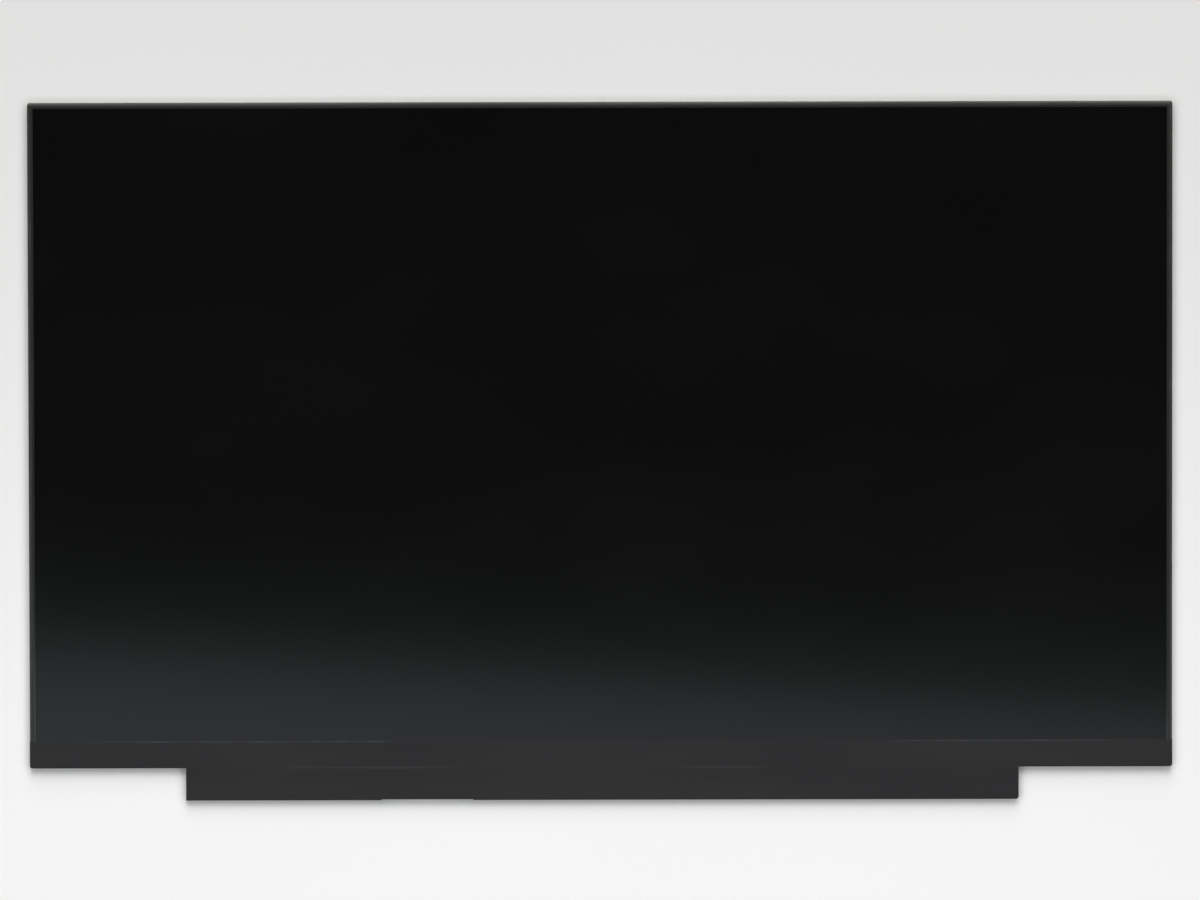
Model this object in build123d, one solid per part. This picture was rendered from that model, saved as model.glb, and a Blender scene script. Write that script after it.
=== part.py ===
from build123d import *
import os

# A 15.6-inch laptop screen panel: liquid crystal cell, backlight, control board and cover tape.
# It lies on its back. +Z points out of the screen, +Y to the top of the picture and +X to the
# viewer's right. The origin is the middle of the outline, on the plane that the back plate rests on.
# All sizes are in millimetres.

# Outline, seen from the front
BODY_WIDTH = 350.66
BODY_HEIGHT = 206.0
TAB_WIDTH = 255.7
TAB_DROP = 10.2
TAB_SHIFT = 0.4
CORNER_RADIUS = 0.7

# Thickness of each layer, from the back to the front
PLATE_SHEET = 0.30
REFLECTOR_SHEET = 0.10
GUIDE_SHEET = 0.55
DIFFUSER_SHEET = 0.10
PRISM_SHEET = 0.12
SHEET_PLAY = 0.04
LEDGE_DEPTH = 0.30
CELL_TAPE = 0.06
REAR_FILM = 0.12
GLASS_SHEET = 0.40
FRONT_FILM = 0.16
COVER_SHEET = 0.08
DRIVER_FILM = 0.08
BOARD_SHEET = 0.50
FLEX_SHEET = 0.10

# Frame: rim beside the glass, skirt round the plate, ledge under the glass, beam below the glass
RIM = 1.00
RIM_ROUND = 0.40
SKIRT = 0.60
SKIRT_LIFT = 0.05
LEDGE_REACH = 1.15
BEAM = 3.15
BOTTOM_REACH = 5.15
CELL_FIT = 0.15

# Back plate: folded flanges in the skirt, and a step along the bottom that the tape lies in
PLATE_FIT = 0.05
BEND_RADIUS = 0.20
CORNER_RELIEF = 1.20
STEP_GAP = 0.10
FLAP_LIFT = 0.02
FLAP_FIT = 0.50

# Snap tongues on the flanges, in windows in the skirt
SNAP_LENGTH = 3.40
SNAP_REACH = 0.35
SNAP_HEIGHT = 0.45
SNAP_TIP = 0.15
SNAP_FIT = 0.06
TOP_SNAPS = 5
SIDE_SNAPS = 3
TOP_SNAP_MARGIN = 31.3
SIDE_SNAP_MARGIN = 37.0

# Optical sheets and light guide, located by ears in notches of the flanges
OPTIC_FIT = 0.50
EAR_WIDTH = 9.0
EAR_FIT = 0.40
GUIDE_BOTTOM = 5.30
REFLECTOR_SHORT = 0.30
SHEET_GAP = 0.40

# LEDs on their flex along the bottom edge of the light guide
LED_PITCH = 8.50
LED_LENGTH = 3.00
LED_DEPTH = 0.85
LED_WALL = 0.12
LED_RECESS = 0.25
LED_FIT = 0.05
FLEX_BOTTOM = 2.30
FLEX_LAP = 1.20
FLEX_END = 2.30
TAIL_WIDTH = 14.0
TAIL_FIT = 0.50
TAIL_DROP = 0.30
TAIL_RUN = 0.30
TAIL_RAMP = 1.40
TAIL_PAD = 2.00

# Cell: films and glass
FRONT_SIDE = 0.58
FRONT_TOP = 0.35
FRONT_BOTTOM = 1.80
REAR_FILM_FIT = 0.30
ARRAY_LEDGE = 3.30
CELL_TAPE_FIT = 0.10

# Driver films with their chips, from the ledge of the array glass to the board
DRIVER_COUNT = 4
FILM_WIDTH = 44.0
FILM_TAPER = 2.0
FILM_BOND = 1.40
SLOT_FIT = 1.00
DRIVER_LENGTH = 24.0
DRIVER_DEPTH = 1.20
DRIVER_FIT = 0.08

# Cover tape: strip wrapped over the rim, tab over the board, fold and rear flap with the socket window
COVER_GAP = 0.10
COVER_WRAP = 1.20
CREASE_RUN = 3.00
FOLD_RADIUS = 0.35
FLAP_GAP = 0.10
TAB_CORNER = 1.00
WINDOW_SIDE = 4.30
WINDOW_TOP = 1.70
WINDOW_LIP = 0.30

# Control board and what is soldered to its rear face
BOARD_GAP = 0.15
BOARD_INSET = 0.35
BOARD_END = 0.40
BOARD_CORNER = 0.80
PART_CHAMFER = 0.08
MEMORY_STEP = 17.8
MEMORY_WIDTH = 3.0
MEMORY_DEPTH = 2.0
MEMORY_HEIGHT = 0.60
TIMING_STEP = 13.5
TIMING_SIZE = 6.0
TIMING_HEIGHT = 0.80
POWER_STEP = 36.0
POWER_SIZE = 5.0
POWER_HEIGHT = 0.75
BACKLIGHT_STEP = 28.0
BACKLIGHT_SIZE = 4.0
BACKLIGHT_HEIGHT = 0.75
TAIL_STEP = 20.0
INDUCTOR_SIZE = 4.0
INDUCTOR_HEIGHT = 1.00
INDUCTOR_CORNER = 0.60
COLUMN_GAP = 1.10
COLUMN_PITCH = 1.70
COLUMN_COUNT = 4
CHIP_LENGTH = 1.00
CHIP_WIDTH = 0.50
CAPACITOR_HEIGHT = 0.50
RESISTOR_HEIGHT = 0.35
RESISTOR_PITCH = 2.60
RESISTOR_GAP = 8.00
RESISTOR_END = 20.0

# Signal socket: thirty contacts, plug enters from below the panel
SOCKET_X = -53.35
SOCKET_SET = 0.20
SOCKET_CHEEK = 1.80
SOCKET_BACK = 1.10
MOUTH_SIDE = 0.65
MOUTH_HEIGHT = 0.60
MOUTH_DEPTH = 2.80
MOUTH_ROOF = 0.25
MOUTH_FLOOR = 0.25
CONTACT_COUNT = 30
CONTACT_PITCH = 0.50
CONTACT_WIDTH = 0.20
CONTACT_SHEET = 0.10
CONTACT_SET = 0.50
CONTACT_GAP = 0.12
CONTACT_FOOT = 0.70
CONTACT_SLOT_FIT = 0.30
SHELL_SHEET = 0.12
SHELL_FIT = 0.03
SHELL_SHORT = 0.60
SHELL_BEND = 0.20
LATCH_WIDTH = 2.20
LATCH_HEIGHT = 0.90
LATCH_SPREAD = 11.0

# Levels above the rest plane
PLATE_STEP = COVER_SHEET + FLAP_LIFT
GUIDE_Z = PLATE_SHEET + REFLECTOR_SHEET
DIFFUSER_Z = GUIDE_Z + GUIDE_SHEET
LOWER_PRISM_Z = DIFFUSER_Z + DIFFUSER_SHEET
UPPER_PRISM_Z = LOWER_PRISM_Z + PRISM_SHEET
LEDGE_Z = UPPER_PRISM_Z + PRISM_SHEET + SHEET_PLAY
LEDGE_TOP_Z = LEDGE_Z + LEDGE_DEPTH
ARRAY_Z = LEDGE_TOP_Z + CELL_TAPE
FILTER_Z = ARRAY_Z + GLASS_SHEET
FACE_Z = FILTER_Z + GLASS_SHEET
FLANGE_Z = LEDGE_Z - PLATE_FIT
STEP_FLOOR_Z = PLATE_STEP + PLATE_SHEET
SNAP_Z = STEP_FLOOR_Z + BEND_RADIUS
BOARD_REAR_Z = FILTER_Z - BOARD_SHEET
TAB_FACE_Z = FILTER_Z + DRIVER_FILM
FLEX_Z = DIFFUSER_Z
THROUGH_Z = (-FACE_Z, 2 * FACE_Z)

# Lines across the front
BODY_TOP = (BODY_HEIGHT + TAB_DROP) / 2
BODY_BOTTOM = BODY_TOP - BODY_HEIGHT
BODY_MIDDLE = (BODY_TOP + BODY_BOTTOM) / 2
TAB_BOTTOM = BODY_BOTTOM - TAB_DROP
TAB_LEFT = TAB_SHIFT - TAB_WIDTH / 2
TAB_RIGHT = TAB_SHIFT + TAB_WIDTH / 2
PLATE_INSET = SKIRT + PLATE_FIT
PLATE_X = BODY_WIDTH / 2 - PLATE_INSET
PLATE_TOP = BODY_TOP - PLATE_INSET
PLATE_BOTTOM = BODY_BOTTOM + PLATE_INSET
STEP_Y = BODY_BOTTOM + GUIDE_BOTTOM - STEP_GAP
SHEET_INSET = PLATE_INSET + PLATE_SHEET + OPTIC_FIT
WINDOW_INSET = RIM + LEDGE_REACH
WINDOW_BOTTOM = BEAM + BOTTOM_REACH
CELL_INSET = RIM + CELL_FIT
ARRAY_INSET = BEAM + CELL_FIT
FILTER_INSET = ARRAY_INSET + ARRAY_LEDGE
STRIP = FILTER_INSET + FRONT_BOTTOM
ARRAY_BOTTOM = BODY_BOTTOM + ARRAY_INSET
BOARD_TOP = BODY_BOTTOM - BOARD_GAP
BOARD_BOTTOM = TAB_BOTTOM + BOARD_INSET
BOARD_MIDDLE = (BOARD_TOP + BOARD_BOTTOM) / 2
FILM_PITCH = TAB_WIDTH / DRIVER_COUNT
TOP_SNAP_PITCH = (BODY_WIDTH - 2 * TOP_SNAP_MARGIN) / (TOP_SNAPS - 1)
SIDE_SNAP_PITCH = (BODY_HEIGHT - 2 * SIDE_SNAP_MARGIN) / (SIDE_SNAPS - 1)

# Socket, and the parts on the board in a row from it
CONTACT_ROW = (CONTACT_COUNT - 1) * CONTACT_PITCH + CONTACT_WIDTH
MOUTH_WIDTH = CONTACT_ROW + 2 * MOUTH_SIDE
SOCKET_WIDTH = MOUTH_WIDTH + 2 * SOCKET_CHEEK
SOCKET_DEPTH = MOUTH_DEPTH + SOCKET_BACK
SOCKET_HEIGHT = MOUTH_ROOF + MOUTH_HEIGHT + MOUTH_FLOOR
SOCKET_FRONT = BOARD_BOTTOM + SOCKET_SET
SOCKET_REAR = SOCKET_FRONT + SOCKET_DEPTH
FOOT_END = SOCKET_REAR + CONTACT_GAP + CONTACT_FOOT
MEMORY_X = SOCKET_X + MEMORY_STEP
TIMING_X = MEMORY_X + TIMING_STEP
POWER_X = TIMING_X + POWER_STEP
BACKLIGHT_X = POWER_X + BACKLIGHT_STEP
TAIL_X = BACKLIGHT_X + TAIL_STEP

ON_TOP = (Align.CENTER, Align.CENTER, Align.MIN)
HANGING = (Align.CENTER, Align.CENTER, Align.MAX)


def spread(count, pitch, middle=0.0):
    """Evenly spaced places about a middle."""
    return [middle + (index - (count - 1) / 2) * pitch for index in range(count)]


def slab(side, top, bottom, z, thickness):
    """A flat layer, set in from the body's outline by these margins."""
    height = BODY_HEIGHT - top - bottom
    middle = BODY_TOP - top - height / 2
    return Pos(0, middle, z) * Box(BODY_WIDTH - 2 * side, height, thickness, align=ON_TOP)


def block(x_range, y_range, z_range):
    """A box between three pairs of limits."""
    low = Vector(x_range[0], y_range[0], z_range[0])
    size = Vector(x_range[1], y_range[1], z_range[1]) - low
    return Pos(low) * Box(size.X, size.Y, size.Z, align=(Align.MIN, Align.MIN, Align.MIN))


def section(points, rounds=()):
    """A closed outline with some of its corners rounded: rounds holds (corner, radius) pairs."""
    face = make_face(Polyline(*points, close=True))
    for corner, radius in rounds:
        face = fillet(face.vertices().sort_by_distance((*corner, 0))[0], radius)
    return face


def along_x(face, x_from, x_to):
    """A (y, z) section drawn out along X."""
    return Pos(x_from, 0, 0) * extrude(Plane.YZ * face, amount=x_to - x_from)


def along_y(face, y_from, y_to):
    """An (x, z) section drawn out along Y."""
    return Pos(0, y_to, 0) * extrude(Plane.XZ * face, amount=y_to - y_from)


def snap_places():
    """Each snap tongue's place on its flange's outer face, with local +X pointing outwards."""
    bottom_x = (BODY_WIDTH + TAB_WIDTH) / 4
    places = [Pos(x, PLATE_TOP, 0) * Rot(0, 0, 90) for x in spread(TOP_SNAPS, TOP_SNAP_PITCH)]
    places += [Pos(x, PLATE_BOTTOM, 0) * Rot(0, 0, -90) for x in (-bottom_x, bottom_x)]
    for y in spread(SIDE_SNAPS, SIDE_SNAP_PITCH, BODY_MIDDLE):
        places.append(Pos(PLATE_X, y, 0))
        places.append(Pos(-PLATE_X, y, 0) * Rot(0, 0, 180))
    return places


def top_ear_places():
    """Where the optical sheets have ears: between the outer snap tongues of the top flange."""
    return spread(2, (TOP_SNAPS - 2) * TOP_SNAP_PITCH)


def side_ear_places():
    """Where the light guide has ears: between the snap tongues of the side flanges."""
    return spread(2, (SIDE_SNAPS - 2) * SIDE_SNAP_PITCH, BODY_MIDDLE)


def back_plate():
    """Folded metal tray: floor with a stepped bottom strip, four flanges, notches and snap tongues."""
    outer_bend = BEND_RADIUS + PLATE_SHEET
    floor = section(
        [
            (PLATE_TOP, FLANGE_Z),
            (PLATE_TOP, 0),
            (STEP_Y, 0),
            (STEP_Y - PLATE_STEP, PLATE_STEP),
            (PLATE_BOTTOM, PLATE_STEP),
            (PLATE_BOTTOM, FLANGE_Z),
            (PLATE_BOTTOM + PLATE_SHEET, FLANGE_Z),
            (PLATE_BOTTOM + PLATE_SHEET, STEP_FLOOR_Z),
            (STEP_Y - PLATE_STEP, STEP_FLOOR_Z),
            (STEP_Y, PLATE_SHEET),
            (PLATE_TOP - PLATE_SHEET, PLATE_SHEET),
            (PLATE_TOP - PLATE_SHEET, FLANGE_Z),
        ],
        [
            ((PLATE_TOP, 0), outer_bend),
            ((PLATE_TOP - PLATE_SHEET, PLATE_SHEET), BEND_RADIUS),
            ((PLATE_BOTTOM, PLATE_STEP), outer_bend),
            ((PLATE_BOTTOM + PLATE_SHEET, STEP_FLOOR_Z), BEND_RADIUS),
        ],
    )
    floor_x = PLATE_X - CORNER_RELIEF
    side = section(
        [
            (PLATE_X, FLANGE_Z),
            (PLATE_X, 0),
            (floor_x - CORNER_RELIEF, 0),
            (floor_x - CORNER_RELIEF, PLATE_SHEET),
            (PLATE_X - PLATE_SHEET, PLATE_SHEET),
            (PLATE_X - PLATE_SHEET, FLANGE_Z),
        ],
        [((PLATE_X, 0), outer_bend), ((PLATE_X - PLATE_SHEET, PLATE_SHEET), BEND_RADIUS)],
    )
    right = along_y(side, STEP_Y + CORNER_RELIEF, PLATE_TOP - CORNER_RELIEF)
    plate = along_x(floor, -floor_x, floor_x) + right + mirror(right, about=Plane.YZ)

    flange = PLATE_SHEET + BEND_RADIUS
    half_notch = EAR_WIDTH / 2 + EAR_FIT
    for x in top_ear_places():
        across = (x - half_notch, x + half_notch)
        plate -= block(across, (PLATE_TOP - flange, BODY_TOP), (GUIDE_Z, LEDGE_Z))
    for y in side_ear_places():
        along = (y - half_notch, y + half_notch)
        notch = block((PLATE_X - flange, BODY_WIDTH), along, (PLATE_SHEET, LEDGE_Z))
        plate -= notch + mirror(notch, about=Plane.YZ)
    half_tail = TAIL_WIDTH / 2 + TAIL_FIT
    across = (TAIL_X - half_tail, TAIL_X + half_tail)
    plate -= block(across, (BODY_BOTTOM, PLATE_BOTTOM + flange), (STEP_FLOOR_Z + BEND_RADIUS, LEDGE_Z))

    tongue = section(
        [
            (-PLATE_SHEET / 2, SNAP_Z),
            (SNAP_REACH, SNAP_Z),
            (SNAP_REACH, SNAP_Z + SNAP_TIP),
            (0, SNAP_Z + SNAP_HEIGHT),
            (-PLATE_SHEET / 2, SNAP_Z + SNAP_HEIGHT),
        ]
    )
    tongue = along_y(tongue, -SNAP_LENGTH / 2, SNAP_LENGTH / 2)
    for place in snap_places():
        plate += place * tongue
    return plate


def frame_block(growth=0.0):
    """The frame's outer form, filled: rounded corners and a rounded top edge, grown by a thickness."""
    outline = RectangleRounded(BODY_WIDTH + 2 * growth, BODY_HEIGHT + 2 * growth, CORNER_RADIUS + growth)
    form = extrude(Pos(0, BODY_MIDDLE, SKIRT_LIFT) * outline, amount=FACE_Z + growth - SKIRT_LIFT)
    return fillet(form.faces().sort_by(Axis.Z)[-1].edges(), RIM_ROUND + growth)


def mid_frame():
    """Moulded frame: rim, ledge under the glass, skirt round the plate and a beam with film slots."""
    frame = frame_block()
    frame -= slab(RIM, RIM, BEAM, LEDGE_TOP_Z, FACE_Z)
    frame -= slab(WINDOW_INSET, WINDOW_INSET, WINDOW_BOTTOM, 0, FACE_Z)
    frame -= slab(SKIRT, SKIRT, SKIRT, 0, LEDGE_Z)

    half_slot = FILM_WIDTH / 2 + SLOT_FIT
    for x in spread(DRIVER_COUNT, FILM_PITCH, TAB_SHIFT):
        across = (x - half_slot, x + half_slot)
        frame -= block(across, (TAB_BOTTOM, BODY_BOTTOM + BEAM), (LEDGE_TOP_Z, 2 * FACE_Z))
    half_tail = TAIL_WIDTH / 2 + TAIL_FIT
    across = (TAIL_X - half_tail, TAIL_X + half_tail)
    frame -= block(across, (TAB_BOTTOM, PLATE_BOTTOM), (FLEX_Z - TAIL_DROP, LEDGE_Z))

    across = (TAB_LEFT - FLAP_FIT, TAB_RIGHT + FLAP_FIT)
    frame -= block(across, (TAB_BOTTOM, PLATE_BOTTOM), (0, PLATE_STEP))

    size = Vector(2 * SKIRT, SNAP_LENGTH + 2 * SNAP_FIT, SNAP_HEIGHT + 2 * SNAP_FIT)
    opening = Pos(SKIRT, 0, SNAP_Z - SNAP_FIT) * Box(size.X, size.Y, size.Z, align=ON_TOP)
    for place in snap_places():
        frame -= place * opening
    return frame


def reflector_sheet():
    """White sheet on the plate's floor."""
    return slab(SHEET_INSET, SHEET_INSET, GUIDE_BOTTOM + REFLECTOR_SHORT, PLATE_SHEET, REFLECTOR_SHEET)


def light_guide():
    """Clear plate lit from its bottom edge, with locating ears in the side flanges."""
    guide = slab(SHEET_INSET, SHEET_INSET, GUIDE_BOTTOM, GUIDE_Z, GUIDE_SHEET)
    edge = BODY_WIDTH / 2 - SHEET_INSET
    for y in side_ear_places():
        ear = block(
            (edge, PLATE_X - PLATE_FIT),
            (y - EAR_WIDTH / 2, y + EAR_WIDTH / 2),
            (GUIDE_Z, DIFFUSER_Z),
        )
        guide += ear + mirror(ear, about=Plane.YZ)
    return guide


def optical_sheet(z, thickness):
    """Diffuser or prism sheet, with locating ears in the top flange."""
    sheet = slab(SHEET_INSET, SHEET_INSET, GUIDE_BOTTOM + FLEX_LAP + SHEET_GAP, z, thickness)
    edge = BODY_TOP - SHEET_INSET
    for x in top_ear_places():
        across = (x - EAR_WIDTH / 2, x + EAR_WIDTH / 2)
        sheet += block(across, (edge, PLATE_TOP - PLATE_FIT), (z, z + thickness))
    return sheet


def led_flex():
    """Flex over the light guide's bottom edge, with a tail that ramps up to the board's rear face."""
    flex_top = BODY_BOTTOM + GUIDE_BOTTOM + FLEX_LAP
    flex_bottom = BODY_BOTTOM + FLEX_BOTTOM
    half_length = BODY_WIDTH / 2 - FLEX_END
    strip = block((-half_length, half_length), (flex_bottom, flex_top), (FLEX_Z, FLEX_Z + FLEX_SHEET))
    ramp_start = BODY_BOTTOM - TAIL_RUN
    ramp_end = ramp_start - TAIL_RAMP
    tail_end = ramp_end - TAIL_PAD
    pad_z = BOARD_REAR_Z - FLEX_SHEET
    tail = section(
        [
            (flex_top, FLEX_Z),
            (ramp_start, FLEX_Z),
            (ramp_end, pad_z),
            (tail_end, pad_z),
            (tail_end, BOARD_REAR_Z),
            (ramp_end - FLEX_SHEET, BOARD_REAR_Z),
            (ramp_start - FLEX_SHEET, FLEX_Z + FLEX_SHEET),
            (flex_top, FLEX_Z + FLEX_SHEET),
        ]
    )
    return strip + along_x(tail, TAIL_X - TAIL_WIDTH / 2, TAIL_X + TAIL_WIDTH / 2)


def leds():
    """LED packages hanging from the flex, with their windows facing the light guide's edge."""
    height = FLEX_Z - STEP_FLOOR_Z - LED_FIT
    middle = BODY_BOTTOM + GUIDE_BOTTOM - LED_FIT - LED_DEPTH / 2
    package = Box(LED_LENGTH, LED_DEPTH, height, align=HANGING)
    window = Box(LED_LENGTH - 2 * LED_WALL, 2 * LED_RECESS, height - 2 * LED_WALL)
    package -= Pos(0, LED_DEPTH / 2, -height / 2) * window
    count = int((BODY_WIDTH - 2 * FLEX_END - LED_LENGTH) / LED_PITCH)
    return [Pos(x, middle, FLEX_Z) * package for x in spread(count, LED_PITCH)]


def cell_tape():
    """Double-sided ring on the frame's ledge that holds the glass."""
    outer = RIM + CELL_TAPE_FIT
    inner = WINDOW_INSET - CELL_TAPE_FIT
    ring = slab(outer, outer, BEAM + CELL_TAPE_FIT, LEDGE_TOP_Z, CELL_TAPE)
    return ring - slab(inner, inner, WINDOW_BOTTOM - CELL_TAPE_FIT, LEDGE_TOP_Z, CELL_TAPE)


def rear_polariser():
    """Film on the back of the array glass, inside the frame's window."""
    side = WINDOW_INSET + REAR_FILM_FIT
    return slab(side, side, WINDOW_BOTTOM + REAR_FILM_FIT, ARRAY_Z - REAR_FILM, REAR_FILM)


def array_glass():
    """Rear glass, longer at the bottom for the bonding ledge."""
    return slab(CELL_INSET, CELL_INSET, ARRAY_INSET, ARRAY_Z, GLASS_SHEET)


def filter_glass():
    """Front glass with the colour filter."""
    return slab(CELL_INSET, CELL_INSET, FILTER_INSET, FILTER_Z, GLASS_SHEET)


def front_polariser():
    """Anti-glare film on the front glass."""
    return slab(CELL_INSET + FRONT_SIDE, CELL_INSET + FRONT_TOP, STRIP, FACE_Z, FRONT_FILM)


def driver_films():
    """Flexible films from the array glass's ledge over the beam to the board."""
    wide = FILM_WIDTH / 2
    narrow = wide - FILM_TAPER
    film_top = ARRAY_BOTTOM + FILM_BOND
    film_bottom = BOARD_TOP - FILM_BOND
    outline = section(
        [
            (-wide, film_top),
            (wide, film_top),
            (wide, ARRAY_BOTTOM),
            (narrow, BODY_BOTTOM),
            (narrow, film_bottom),
            (-narrow, film_bottom),
            (-narrow, BODY_BOTTOM),
            (-wide, ARRAY_BOTTOM),
        ]
    )
    film = extrude(Pos(0, 0, FILTER_Z) * outline, amount=DRIVER_FILM)
    return [Pos(x, 0, 0) * film for x in spread(DRIVER_COUNT, FILM_PITCH, TAB_SHIFT)]


def driver_chips():
    """Driver chips under the films, down in the beam's slots."""
    height = FILTER_Z - LEDGE_TOP_Z - DRIVER_FIT
    chip = Box(DRIVER_LENGTH, DRIVER_DEPTH, height, align=HANGING)
    middle = BODY_BOTTOM + BEAM / 2
    return [Pos(x, middle, FILTER_Z) * chip for x in spread(DRIVER_COUNT, FILM_PITCH, TAB_SHIFT)]


def cover_strip(strip_top):
    """The tape's full-width strip, wrapped over the rim at the sides and beside the tab."""
    skin = frame_block(COVER_SHEET) - frame_block()
    reach = BODY_WIDTH + TAB_WIDTH
    strip = skin & block((-reach, reach), (2 * TAB_BOTTOM, strip_top), (FACE_Z - COVER_WRAP, 2 * FACE_Z))
    return strip - block((TAB_LEFT, TAB_RIGHT), (2 * TAB_BOTTOM, strip_top), THROUGH_Z)


def cover_tape():
    """Black tape: strip over the ledge, tab over the board, folded round its edge to a rear flap."""
    strip_top = BODY_BOTTOM + STRIP - COVER_GAP
    brow = BODY_BOTTOM + RIM_ROUND / 2
    crease = brow - CREASE_RUN
    fold = TAB_BOTTOM + COVER_SHEET
    flap_top = STEP_Y - PLATE_STEP - FLAP_GAP
    flap_z = PLATE_STEP - COVER_SHEET
    tab_top_z = TAB_FACE_Z + COVER_SHEET
    strip_top_z = FACE_Z + COVER_SHEET
    outer_fold = FOLD_RADIUS + COVER_SHEET
    profile = section(
        [
            (strip_top, FACE_Z),
            (brow, FACE_Z),
            (crease, TAB_FACE_Z),
            (fold, TAB_FACE_Z),
            (fold, PLATE_STEP),
            (flap_top, PLATE_STEP),
            (flap_top, flap_z),
            (TAB_BOTTOM, flap_z),
            (TAB_BOTTOM, tab_top_z),
            (crease, tab_top_z),
            (brow, strip_top_z),
            (strip_top, strip_top_z),
        ],
        [
            ((fold, TAB_FACE_Z), FOLD_RADIUS),
            ((fold, PLATE_STEP), FOLD_RADIUS),
            ((TAB_BOTTOM, flap_z), outer_fold),
            ((TAB_BOTTOM, tab_top_z), outer_fold),
        ],
    )
    tab = along_x(profile, TAB_LEFT, TAB_RIGHT)
    round_x = TAB_RIGHT - TAB_CORNER
    round_y = TAB_BOTTOM + TAB_CORNER
    corner = block((round_x, BODY_WIDTH), (2 * TAB_BOTTOM, round_y), THROUGH_Z)
    corner -= Pos(round_x, round_y, 0) * Cylinder(TAB_CORNER, 2 * THROUGH_Z[1])
    tape = tab + cover_strip(strip_top) - corner
    half_window = SOCKET_WIDTH / 2 + WINDOW_SIDE
    across = (SOCKET_X - half_window, SOCKET_X + half_window)
    tape -= block(across, (2 * TAB_BOTTOM, TAB_BOTTOM + WINDOW_LIP), THROUGH_Z)
    tape -= block(across, (2 * TAB_BOTTOM, FOOT_END + WINDOW_TOP), (THROUGH_Z[0], BOARD_REAR_Z))
    return tape


def control_board():
    """Long narrow board below the body, level with the array glass."""
    board = block(
        (TAB_LEFT + BOARD_END, TAB_RIGHT - BOARD_END), (BOARD_BOTTOM, BOARD_TOP), (BOARD_REAR_Z, FILTER_Z)
    )
    return chamfer(board.edges().filter_by(Axis.Z), BOARD_CORNER)


def board_part(x, width, depth, height, y=BOARD_MIDDLE):
    """A part soldered under the board, with its free edges eased."""
    part = Box(width, depth, height, align=HANGING)
    part = chamfer(part.faces().sort_by(Axis.Z)[0].edges(), PART_CHAMFER)
    return Pos(x, y, BOARD_REAR_Z) * part


def inductors():
    """Power inductors beside the power chip and the backlight chip."""
    reach = COLUMN_GAP * 2 + CHIP_WIDTH + INDUCTOR_SIZE / 2
    places = [POWER_X - POWER_SIZE / 2 - reach, POWER_X + POWER_SIZE / 2 + reach]
    places.append(BACKLIGHT_X - BACKLIGHT_SIZE / 2 - reach)
    outline = RectangleRounded(INDUCTOR_SIZE, INDUCTOR_SIZE, INDUCTOR_CORNER)
    core = extrude(outline, amount=-INDUCTOR_HEIGHT)
    return [Pos(x, BOARD_MIDDLE, BOARD_REAR_Z) * core for x in places]


def capacitors():
    """Columns of chip capacitors on both sides of the three larger chips."""
    chip = Box(CHIP_WIDTH, CHIP_LENGTH, CAPACITOR_HEIGHT, align=HANGING)
    found = []
    for x, size in ((TIMING_X, TIMING_SIZE), (POWER_X, POWER_SIZE), (BACKLIGHT_X, BACKLIGHT_SIZE)):
        for column in spread(2, size + 2 * COLUMN_GAP, x):
            for y in spread(COLUMN_COUNT, COLUMN_PITCH, BOARD_MIDDLE):
                found.append(Pos(column, y, BOARD_REAR_Z) * chip)
    return found


def resistors():
    """A row of chip resistors between the flex's tail and the far end of the board."""
    chip = Box(CHIP_WIDTH, CHIP_LENGTH, RESISTOR_HEIGHT, align=HANGING)
    start = TAIL_X + TAIL_WIDTH / 2 + RESISTOR_GAP
    end = TAB_RIGHT - RESISTOR_END
    count = int((end - start) / RESISTOR_PITCH)
    places = spread(count, RESISTOR_PITCH, (start + end) / 2)
    return [Pos(x, BOARD_MIDDLE, BOARD_REAR_Z) * chip for x in places]


def socket_body():
    """Moulded socket with its mouth towards the panel's bottom edge and a slot for the contacts."""
    middle = SOCKET_FRONT + SOCKET_DEPTH / 2
    body = Pos(SOCKET_X, middle, BOARD_REAR_Z) * Box(SOCKET_WIDTH, SOCKET_DEPTH, SOCKET_HEIGHT, align=HANGING)
    mouth_top = BOARD_REAR_Z - MOUTH_ROOF
    mouth = Pos(SOCKET_X, SOCKET_FRONT, mouth_top) * Box(
        MOUTH_WIDTH, 2 * MOUTH_DEPTH, MOUTH_HEIGHT, align=HANGING
    )
    slot_width = CONTACT_ROW + CONTACT_SLOT_FIT
    slot = Pos(SOCKET_X, middle, mouth_top) * Box(slot_width, SOCKET_DEPTH, CONTACT_SHEET, align=HANGING)
    return body - mouth - slot


def socket_contacts():
    """Contact strips: beam along the mouth's roof, through the slot, down to a foot on the board."""
    beam_top = BOARD_REAR_Z - MOUTH_ROOF
    beam_low = beam_top - CONTACT_SHEET
    foot_low = BOARD_REAR_Z - CONTACT_SHEET
    start = SOCKET_FRONT + CONTACT_SET
    riser = SOCKET_REAR + CONTACT_GAP
    outline = section(
        [
            (start, beam_top),
            (riser, beam_top),
            (riser, BOARD_REAR_Z),
            (FOOT_END, BOARD_REAR_Z),
            (FOOT_END, foot_low),
            (riser + CONTACT_SHEET, foot_low),
            (riser + CONTACT_SHEET, beam_low),
            (start, beam_low),
        ]
    )
    strip = along_x(outline, -CONTACT_WIDTH / 2, CONTACT_WIDTH / 2)
    return [Pos(x, 0, 0) * strip for x in spread(CONTACT_COUNT, CONTACT_PITCH, SOCKET_X)]


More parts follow.
